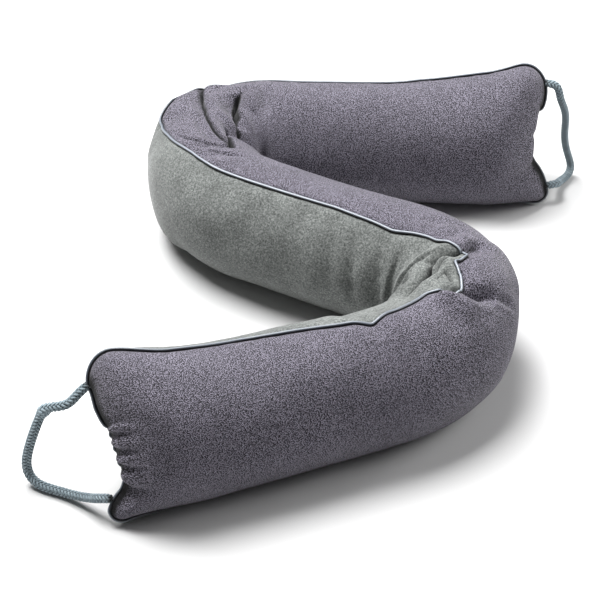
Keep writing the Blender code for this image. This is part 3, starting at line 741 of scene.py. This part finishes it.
def surface(s, turn, side):
    """Points of one panel, from the distance along and the turn from the top seam to pi beneath.

    The point is an ellipse's point, pushed along the ellipse's normal by the folds, then turned
    by the lean, set on the floor and carried to the centreline's place and heading.
    """
    s, turn = np.broadcast_arrays(np.asarray(s, float), np.asarray(turn, float))
    down = (1 - np.cos(turn)) / 2
    a, full = half_width(s), half_height(s)
    b = full - corner_cut(s, down)
    tip = np.interp(s, ARC, LEAN_CURVE)
    around = side * turn + np.interp(s, ARC, WANDER_CURVE) * (1 + np.cos(turn)) / 2
    across, height = a * np.sin(around), b * np.cos(around)
    out_across, out_height = across / a ** 2, height / b ** 2
    out_size = np.hypot(out_across, out_height)
    at_end = 1 - smooth_step(end_distance(s) / CLOSING_REACH)
    gather = gathers(s, down)
    dent = DENT_SHARE * gather * (1 - np.exp(-end_distance(s) / DENT_REACH)) * np.abs(np.sin(turn))
    bending = np.interp(s, ARC, BENDING)
    inward = -np.sign(bending) * (across * np.cos(tip) - height * np.sin(tip))
    room = 1 - np.abs(bending) * np.maximum(inward, 0.0)
    fading = (1 - at_end) * smooth_step(room / FOLDING_ROOM)
    squeeze = np.clip(1 - room, 0.0, 1.0)
    push = (relief(s, around, FOLDS) + unevenness(s, turn, around, squeeze)) * fading
    push = push - creases(s, around) * (1 - at_end) - dent
    across = across + push * out_across / out_size + side * SEAM_GAP / 2
    height = height + push * out_height / out_size
    slide = drawn_in(s, down) + puffed_out(s, down, side)
    low = np.hypot(full * np.cos(tip), a * np.sin(tip))
    sink = FOOT_SINK * (1 - at_end) - PIPING_GROOVE * at_end
    right = inside_bend(across * np.cos(tip) - height * np.sin(tip), bending)
    up = height * np.cos(tip) + across * np.sin(tip) + low - sink
    groove = np.exp(-((np.pi - turn) * b / PIPING_GROOVE_REACH) ** 2)
    groove = PIPING_GROOVE * np.maximum(groove - GROOVE_EDGE, 0.0) / (1 - GROOVE_EDGE)
    up = np.maximum(up, groove)
    heading = np.interp(s, ARC, HEADING)
    x = np.interp(s, ARC, PLACE[:, 0]) + np.sin(heading) * right + np.cos(heading) * slide
    y = np.interp(s, ARC, PLACE[:, 1]) - np.cos(heading) * right + np.sin(heading) * slide
    return np.stack([x, y, up], -1)


# %% [markdown]
# ## The two panels
#
# Each panel is a closed, stuffed half: the cloth outside and the face where it meets the other
# half inside. The grid is fine where the cloth folds and coarser along the straight legs, and
# the inside face, which nobody sees, has only a few columns.

# %% Panels
RING_STEPS = (
    # metres along, distance between rings
    (0.014, 0.0009), (0.040, 0.0013), (0.070, 0.0032), (0.170, 0.0032), (0.230, 0.0010),
    (0.325, 0.0010), (0.360, 0.0030), (0.490, 0.0030), (0.530, 0.0010), (0.590, 0.0007),
    (0.650, 0.0007), (0.690, 0.0032), (0.825, 0.0032), (0.857, 0.0013), (0.889, 0.0009),
)
CORNER_RINGS = 22
LEVEL_LIMIT = 0.6
TURN_STEPS = 156
INNER_COLUMNS = 12
SEAM_DENSITY = 0.35
TOP_DENSITY = 0.22
EDGE_SHADE_REACH = {FRONT: 0.0017, BACK: 0.0015}
CREASE_DARK_FROM = 0.0045


def rings_along():
    """Distances of the rings: even round the corners, then as close as the table asks."""
    corner = NEAR_CORNER_RADIUS * (1 - np.cos(np.linspace(0, np.pi / 2, CORNER_RINGS + 1)))
    steps = np.interp(ARC, [row[0] for row in RING_STEPS], [row[1] for row in RING_STEPS])
    count = np.cumsum(TRACE_STEP / steps)
    first, last = np.interp([NEAR_CORNER_RADIUS, LENGTH - NEAR_CORNER_RADIUS], ARC, count)
    between = np.linspace(first, last, int(round(last - first)) + 1)[1:-1]
    return np.concatenate([corner, np.interp(between, count, ARC), LENGTH - corner[::-1]])


def turns_around():
    """Angles from seam to seam, closer together near the seams and on the upper half."""
    u = np.linspace(0.0, 1.0, TURN_STEPS + 1)
    u = u - TOP_DENSITY * np.sin(np.pi * u) / np.pi * (1 - u)
    return np.pi * (u - SEAM_DENSITY * np.sin(2 * np.pi * u) / (2 * np.pi))


RINGS, TURNS = rings_along(), turns_around()
INSIDE = np.arange(TURN_STEPS - INNER_COLUMNS, 0, -INNER_COLUMNS)


def seam_face(outer):
    """Points between the seams and inside them: level with the cloth, straight across, and drawn in."""
    down = (1 - np.cos(TURNS[INSIDE]))[None, :] / 2
    chord = outer[:, -1:] - outer[:, :1]
    level = ((outer[:, INSIDE] - outer[:, :1]) * chord).sum(-1) / (chord ** 2).sum(-1)
    level = np.clip(level, LEVEL_LIMIT * down, 1 - LEVEL_LIMIT * (1 - down))
    at_end = 1 - smooth_step(end_distance(RINGS) / CLOSING_REACH)
    shares = down + (level - down) * at_end[:, None]
    heading = np.interp(RINGS, ARC, HEADING)
    along = np.stack([np.cos(heading), np.sin(heading), heading * 0], -1)
    top, bottom = drawn_in(RINGS, 0.0)[:, None], drawn_in(RINGS, 1.0)[:, None]
    slide = drawn_in(RINGS[:, None], down) - top * (1 - shares) - bottom * shares
    return outer[:, :1] + chord * shares[..., None] + slide[..., None] * along[:, None]


def end_faces(row):
    """The thin end of a half: one strip of cloth and seam face for each column inside."""
    seam = np.concatenate([row[:1], row[:TURN_STEPS:-1], row[TURN_STEPS:TURN_STEPS + 1]]).tolist()
    cloth = row[:TURN_STEPS + 1].tolist()
    strips = []
    for k in range(len(seam) - 1):
        outer = cloth[k * INNER_COLUMNS:(k + 1) * INNER_COLUMNS + 1]
        strips.append(outer + [i for i in (seam[k + 1], seam[k]) if i not in outer])
    return strips


def make_panel(name, side, node):
    """A stuffed half from its cloth and its seam face, closed at both ends."""
    outer = surface(RINGS[:, None], TURNS[None, :], side)
    points = np.concatenate([outer, seam_face(outer)], axis=1)
    rows, columns = points.shape[:2]
    index = np.arange(rows * columns).reshape(rows, columns)
    faces = grid_faces(np.concatenate([index, index[:, :1]], axis=1))
    ends = [end[::-1] for end in end_faces(index[0])] + end_faces(index[-1])
    if side == FRONT:
        faces = faces[:, ::-1]
        ends = [end[::-1] for end in ends]
    from_seam = HALF_HEIGHT * np.minimum(TURNS, np.pi - TURNS)
    to_seam = np.minimum(from_seam[None, :], end_distance(RINGS)[:, None])
    places = np.zeros((rows, columns, 3))
    places[..., 0] = RINGS[:, None]
    places[:, :TURN_STEPS + 1, 1] = HALF_HEIGHT * TURNS
    around = side * TURNS[None, :] + np.interp(RINGS, ARC, WANDER_CURVE)[:, None] * (1 + np.cos(TURNS)) / 2
    closed = creases(np.broadcast_to(RINGS[:, None], around.shape), around) / CREASE_DARK_FROM
    beside_seam = np.exp(-to_seam / EDGE_SHADE_REACH[side])
    places[:, :TURN_STEPS + 1, 2] = np.maximum(beside_seam, np.minimum(closed, 1.0))
    panel = add_piece(name, points.reshape(-1, 3), faces, places.reshape(-1, 3), ends)
    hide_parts(node)
    return panel


front = make_panel("plum_panel", FRONT, "front_panel")
back = make_panel("grey_panel", BACK, "back_panel")

# %% [markdown]
# ## Piping
#
# Piping is a thin cord wrapped in a strip of cloth, with both edges of the strip caught in the
# seam. It keeps the seam crisp and hides the stitches. The round bead follows the seam's middle
# line all round the tube, ends included, and the strip's edge closes the gap down to the stitches.
#
# Along the middle leg the bead is painted brightest, with a narrow painted highlight on its crest, and
# elsewhere it is painted a little darker. How much painted light each point gets is stored for its
# material: most on the crest, ever less towards its back, and none on the strip's edge, which is painted
# near black as shade.

# %% Piping all round the seam
PIPING_SIDES = 14
FLANGE_HALF_THICKNESS = 0.0003
FLANGE_DEPTH = 0.0016
BEAD_TUCKED_IN = 0.0030
# where along the tube the bead is painted brightest, how softly that painted light falls off, and how much
# darker the bead is painted elsewhere
PAINTED_LIGHT_FROM, PAINTED_LIGHT_TO, PAINTED_LIGHT_EASING = 0.225, 0.585, 0.035
PAINTED_SHADE_OFF_MIDDLE = 0.15
CREST_NARROWED = 2
CORNER_COLUMNS = 3
TUCK_EASING = 2


def seam_middle(s, turn):
    """Points midway between the two panels."""
    return (surface(s, turn, FRONT) + surface(s, turn, BACK)) / 2


def across_direction(s):
    """Unit vectors square to the seam, towards the front panel."""
    tip, heading = np.interp(s, ARC, LEAN_CURVE), np.interp(s, ARC, HEADING)
    return np.stack([np.sin(heading) * np.cos(tip), -np.cos(heading) * np.cos(tip), np.sin(tip)], -1)


def piping_path():
    """Distances along the tube, the bead's middle line, and directions out of the seam and across."""
    turns = TURNS[CORNER_COLUMNS:-CORNER_COLUMNS]
    s = np.concatenate([RINGS, np.full(len(turns), LENGTH), RINGS[::-1], np.zeros(len(turns))])
    turn = np.concatenate([RINGS * 0, turns, RINGS * 0 + np.pi, turns[::-1]])
    middle = seam_middle(s, turn)
    tangent = unit(np.roll(middle, -1, axis=0) - np.roll(middle, 1, axis=0))
    outward = unit(np.cross(across_direction(s), tangent))
    across = np.cross(tangent, outward)
    on_floor = 1 - smooth_step((middle[:, 2] - PIPING_GROOVE) / SEAM_LIFT)
    under = ((turn == np.pi) * smooth_step(end_distance(s) / CLOSING_REACH) * on_floor)[:, None]
    away = unit(outward * (1 - under) + np.array([0.0, 0.0, -1.0]) * under)
    at_end = (turn > 0) & (turn < np.pi)
    tucked = BEAD_TUCKED_IN * ease(at_end * puffed_share(s, (1 - np.cos(turn)) / 2), TUCK_EASING)
    centre = middle + away * (PIPING_RADIUS + PIPING_GAP - tucked)[:, None]
    centre[:, 2] = np.maximum(centre[:, 2], PIPING_RADIUS)
    return s, middle, centre, outward, across, away


def make_piping():
    """A round bead on the path, and the flat edge of its strip from the bead down to the seam."""
    where, middle, centre, outward, across, away = piping_path()
    count = len(centre)
    gone = np.cumsum(np.linalg.norm(centre - np.roll(centre, 1, axis=0), axis=1))
    side = np.linspace(0, 2 * np.pi, PIPING_SIDES, endpoint=False)[:, None]
    ring = np.cos(side) * outward[:, None] + np.sin(side) * across[:, None]
    bead = centre[:, None] + PIPING_RADIUS * ring
    half = FLANGE_HALF_THICKNESS * across
    foot = middle - away * FLANGE_DEPTH
    flange = np.stack([centre + half, foot + half, foot - half, centre - half], axis=1)
    # painted light on the bead: full along the middle leg and a little less elsewhere, with a narrower
    # painted highlight on the crest along the middle leg
    from_ends = np.minimum(where - PAINTED_LIGHT_FROM, PAINTED_LIGHT_TO - where)
    middle_leg = smooth_step(from_ends / PAINTED_LIGHT_EASING)
    painted_light = 1 - PAINTED_SHADE_OFF_MIDDLE * (1 - middle_leg[:, None])
    # the bead's share of painted light falls from its crest to its back; the strip's edge gets none and is
    # painted near black as shade
    lit = (np.cos(side) + 1) / 2 * np.ones((count, 1, 1)), np.zeros((count, 4, 1))
    points, faces, places, first = [], [], [], 0
    for grid, share in zip((bead, flange), lit):
        columns = grid.shape[1]
        index = first + np.arange(count * columns).reshape(count, columns)
        index = np.concatenate([index, index[:, :1]], axis=1)
        faces.append(grid_faces(np.concatenate([index, index[:1]], axis=0))[:, ::-1])
        place = np.zeros((count, columns, 3))
        place[..., 0] = gone[:, None]
        place[..., 1] = 2 * np.pi * PIPING_RADIUS * np.arange(columns) / columns
        place[..., 2] = painted_light * share[..., 0] ** (1 + CREST_NARROWED * middle_leg[:, None])
        points.append(grid.reshape(-1, 3))
        places.append(place.reshape(-1, 3))
        first += count * columns
    piping = add_piece("piping_bead", np.concatenate(points), np.concatenate(faces), np.concatenate(places))
    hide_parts("piping")
    return piping


piping = make_piping()

# %% [markdown]
# ## Plum-grey weave
#
# The front panel is a coarse woven furnishing cloth, the kind that chairs are covered with. Its
# threads are thick and uneven, so the cloth looks speckled: light tops of threads and dark holes
# between them, a little less than a millimetre apart. Small rounded cells give that at the right
# size, each with a brightness of its own, as in a yarn spun from mixed fibres. The same cells raise
# the threads. Slow changes of tone keep it from looking printed.

# %% Plum-grey woven cloth
THREAD_SPACING = 0.00090
WEAVE_TILT = 0.35
TONE_SPACING = 0.0263158


def start_material(name, piece):
    """A new material on the piece, with its tree and its shader."""
    material = bpy.data.materials.new(name)
    material.use_nodes = True
    piece.data.materials.append(material)
    return material.node_tree, material.node_tree.nodes["Principled BSDF"]


def on_cloth(tree):
    """The place on the cloth that is stored with every point."""
    return add_node(tree, "Attribute", attribute_name="cloth").outputs["Vector"]


def third_number(tree):
    """The third number that is stored with the place on the cloth."""
    return add_node(tree, "SeparateXYZ", {"Vector": on_cloth(tree)}).outputs["Z"]


def edge_shade(tree, dark):
    """Near black in the creases and beside the piping, where hardly any light gets in."""
    return add_node(tree, "ValToRGB", {"Fac": third_number(tree)}, stops=((0.18, 1.0), (0.75, dark)))


def finish_material(tree, shader, ramps, height, strength, depth, values):
    """The colours of the ramps multiplied, a bump as deep as the real relief, and other values."""
    coloured = ramps[0].outputs["Color"]
    for shade in ramps[1:]:
        # a Mix node has a pair of inputs for each type of value, and 6 and 7 are the colours
        mix = add_node(tree, "Mix", {6: coloured, 7: shade.outputs["Color"]}, {"Factor": 1.0},
                       data_type="RGBA", blend_type="MULTIPLY")
        coloured = mix.outputs[2]
    tree.links.new(coloured, shader.inputs["Base Color"])
    bump = add_node(tree, "Bump", {"Height": height}, {"Strength": strength, "Distance": depth})
    tree.links.new(bump.outputs["Normal"], shader.inputs["Normal"])
    for name, value in values.items():
        shader.inputs[name].default_value = value


tree, shader = start_material("plum_grey_woven_furnishing_cloth", front)
laid = add_node(tree, "Mapping", {"Vector": on_cloth(tree)},
                {"Rotation": (0.0, 0.0, WEAVE_TILT), "Scale": (1.0, 1.25, 0.0)})
cells = add_node(tree, "TexVoronoi", {"Vector": laid.outputs["Vector"]},
                 {"Scale": 1 / THREAD_SPACING, "Randomness": 0.85}, feature="F1", voronoi_dimensions="2D")
threads = add_node(tree, "ValToRGB", {"Fac": cells.outputs["Distance"]}, stops=((0.08, 1.0), (0.66, 0.0)))
plum = add_node(tree, "ValToRGB", {"Fac": threads.outputs["Color"]},
                stops=((0.05, "1D1B20"), (0.45, "6A6672"), (1.0, "BCB7C8")))
cell = add_node(tree, "SeparateXYZ", {"Vector": cells.outputs["Color"]})
yarn = add_node(tree, "ValToRGB", {"Fac": cell.outputs["X"]}, stops=((0.05, 0.32), (0.95, 1.0)))
where = add_node(tree, "TexCoord").outputs["Object"]
slow = add_node(tree, "TexNoise", {"Vector": where}, {"Scale": 1 / TONE_SPACING, "Detail": 3.0})
tone = add_node(tree, "ValToRGB", {"Fac": slow.outputs["Fac"]}, stops=((0.30, 0.82), (0.70, 1.0)))
finish_material(tree, shader, (plum, yarn, tone, edge_shade(tree, 0.03)),
                threads.outputs["Color"], 0.4, 0.0004,
                {"Roughness": 0.95, "Specular IOR Level": 0.25, "Sheen Weight": 0.12,
                 "Sheen Roughness": 0.5})
print("threads every", 1000 * THREAD_SPACING, "mm")

# %% [markdown]
# ## Grey-green brushed cloth
#
# The back panel is a finer, brushed cotton. Brushing lifts short fibres over the weave, so only
# a faint mottling is left, and the surface scatters light softly at its edges, which is what the
# sheen is for. Single fibres are too fine to show, so the nap is drawn as tufts of a millimetre
# or so.

# %% Grey-green brushed cotton
TUFT_SPACING = 0.0014286
PATCH_SPACING = 0.0208333

tree, shader = start_material("grey_green_brushed_cotton", back)
where = add_node(tree, "TexCoord").outputs["Object"]
nap = add_node(tree, "TexNoise", {"Vector": where},
               {"Scale": 1 / TUFT_SPACING, "Detail": 3.0, "Roughness": 0.8})
green = add_node(tree, "ValToRGB", {"Fac": nap.outputs["Fac"]},
                 stops=((0.32, "444746"), (0.50, "6D706E"), (0.68, "979A98")))
patches = add_node(tree, "TexNoise", {"Vector": where}, {"Scale": 1 / PATCH_SPACING, "Detail": 4.0})
tone = add_node(tree, "ValToRGB", {"Fac": patches.outputs["Fac"]}, stops=((0.34, 0.76), (0.64, 1.0)))
finish_material(tree, shader, (green, tone, edge_shade(tree, 0.06)), nap.outputs["Fac"], 0.35, 0.0004,
                {"Roughness": 0.9, "Specular IOR Level": 0.2, "Sheen Weight": 0.25,
                 "Sheen Roughness": 0.4})
print("tufts every", round(1000 * TUFT_SPACING, 1), "mm")

# %% [markdown]
# ## Silver-grey piping cloth
#
# The piping is covered with a smooth, slightly shiny silver-grey cloth cut on the bias, so its
# fine threads run slanted round the bead. They are too fine to show, and are drawn about four
# times as far apart. The bead's colour holds painted light and shade: near black on its flanks, where they
# lie against the two cloths, and silver-grey on its crest, with a painted highlight that is lightest along
# the middle leg.

# %% Silver-grey satin cut on the bias
BIAS_SPACING = 0.0009
BIAS_TILT = 0.7
WAVE_LENGTH = 0.314

tree, shader = start_material("silver_grey_bias_cut_satin", piping)
slant = add_node(tree, "Mapping", {"Vector": on_cloth(tree)}, {"Rotation": (0.0, 0.0, BIAS_TILT)})
# at a scale of 1 a wave texture repeats every WAVE_LENGTH metres
lines = add_node(tree, "TexWave", {"Vector": slant.outputs["Vector"]},
                 {"Scale": WAVE_LENGTH / BIAS_SPACING, "Distortion": 1.5, "Detail": 2.0})
threads = add_node(tree, "ValToRGB", {"Fac": lines.outputs["Fac"]}, stops=((0.1, 0.72), (0.8, 1.0)))
# painted shade and highlight on the bead, read from its stored share of painted light
bead = add_node(tree, "ValToRGB", {"Fac": third_number(tree)},
                stops=((0.28, "0E1014"), (0.48, "30343B"), (0.76, "6A727C"), (0.97, "A4AAB3")))
finish_material(tree, shader, (bead, threads), lines.outputs["Fac"], 0.25, 0.0003,
                {"Roughness": 0.34, "Specular IOR Level": 0.9})
print("threads of the piping every", 1000 * BIAS_SPACING, "mm")

# %% [markdown]
# ## Cotton rope
#
# The rope is plain cotton and has no shine. Each strand is a bundle of fibres that run along it.
# The gaps between the strands are painted dark as shade: the nearer a point lies to the rope's middle, the
# darker, and the core is painted near black.

# %% Pale blue-grey cotton
FIBRE_LENGTH = 0.0045455
FIBRES_ROUND = 7.0

for rope in ropes:
    tree, shader = start_material("pale_blue_grey_cotton_braid", rope)
    stretch = add_node(tree, "Mapping", {"Vector": on_cloth(tree)},
                       {"Scale": (1 / FIBRE_LENGTH, FIBRES_ROUND, 0.0)})
    fibres = add_node(tree, "TexNoise", {"Vector": stretch.outputs["Vector"]}, {"Scale": 1.0, "Detail": 3.0})
    blue = add_node(tree, "ValToRGB", {"Fac": fibres.outputs["Fac"]},
                    stops=((0.28, "68777F"), (0.5, "87979F"), (0.72, "A6B4BA")))
    # painted shade between the strands and on the core, from how far out from the rope's middle each point
    # lies
    painted_gap_shade = add_node(tree, "ValToRGB", {"Fac": third_number(tree)}, stops=((0.62, 0.03), (0.98, 1.0)))
    finish_material(tree, shader, (blue, painted_gap_shade), fibres.outputs["Fac"], 0.4, 0.0003,
                    {"Roughness": 0.85, "Sheen Weight": 0.2})
print("fibres", round(1000 * FIBRE_LENGTH, 1), "mm long,", FIBRES_ROUND, "round a strand")

# %% [markdown]
# ## Floor and light
#
# A plain pale floor and soft light from above show cloth best: the tops are bright, the sides
# fall off slowly, and the shadow under the tube has no hard edge. The wide lamp above is the
# window of a studio, a second window on the right lights the outside of the near bend, and the
# pale surroundings fill in what neither reaches.

# %% Floor and light
FLOOR_HALF = 6.0
SURROUNDINGS = 0.09
LAMPS = (
    # name, place, size, watts
    ("window_above", (-0.55, 0.55, 1.8), 1.3, 96.0),
    ("window_on_the_right", (1.5, 0.2, 1.1), 1.0, 19.0),
)

floor_mesh = bpy.data.meshes.new("floor")
corners = np.array([[-1, -1, 0], [1, -1, 0], [1, 1, 0], [-1, 1, 0]]) * FLOOR_HALF
floor_mesh.from_pydata(corners.tolist(), [], [(0, 1, 2, 3)])
floor = bpy.data.objects.new("floor", floor_mesh)
bpy.context.scene.collection.objects.link(floor)
tree, shader = start_material("pale_matt_floor", floor)
shader.inputs["Base Color"].default_value = linear("D4D4D4")
shader.inputs["Roughness"].default_value = 0.9
shader.inputs["Specular IOR Level"].default_value = 0.1


def add_lamp(name, place, size, power):
    """A square soft lamp that looks at the middle of the object."""
    lamp = bpy.data.objects.new(name, bpy.data.lights.new(name, "AREA"))
    lamp.data.size = size
    lamp.data.energy = power
    lamp.location = place
    away = np.array(place) - LOOKED_AT
    lamp.rotation_euler = (math.atan2(math.hypot(away[0], away[1]), away[2]), 0.0,
                           math.atan2(away[0], -away[1]))
    bpy.context.scene.collection.objects.link(lamp)
    print(name, "gives", power, "W")


for lamp in LAMPS:
    add_lamp(*lamp)
world = bpy.data.worlds.new("studio")
world.use_nodes = True
world.node_tree.nodes["Background"].inputs["Color"].default_value = (1.0, 1.0, 1.0, 1.0)
world.node_tree.nodes["Background"].inputs["Strength"].default_value = SURROUNDINGS
bpy.context.scene.world = world
bpy.context.scene.view_settings.view_transform = "Standard"
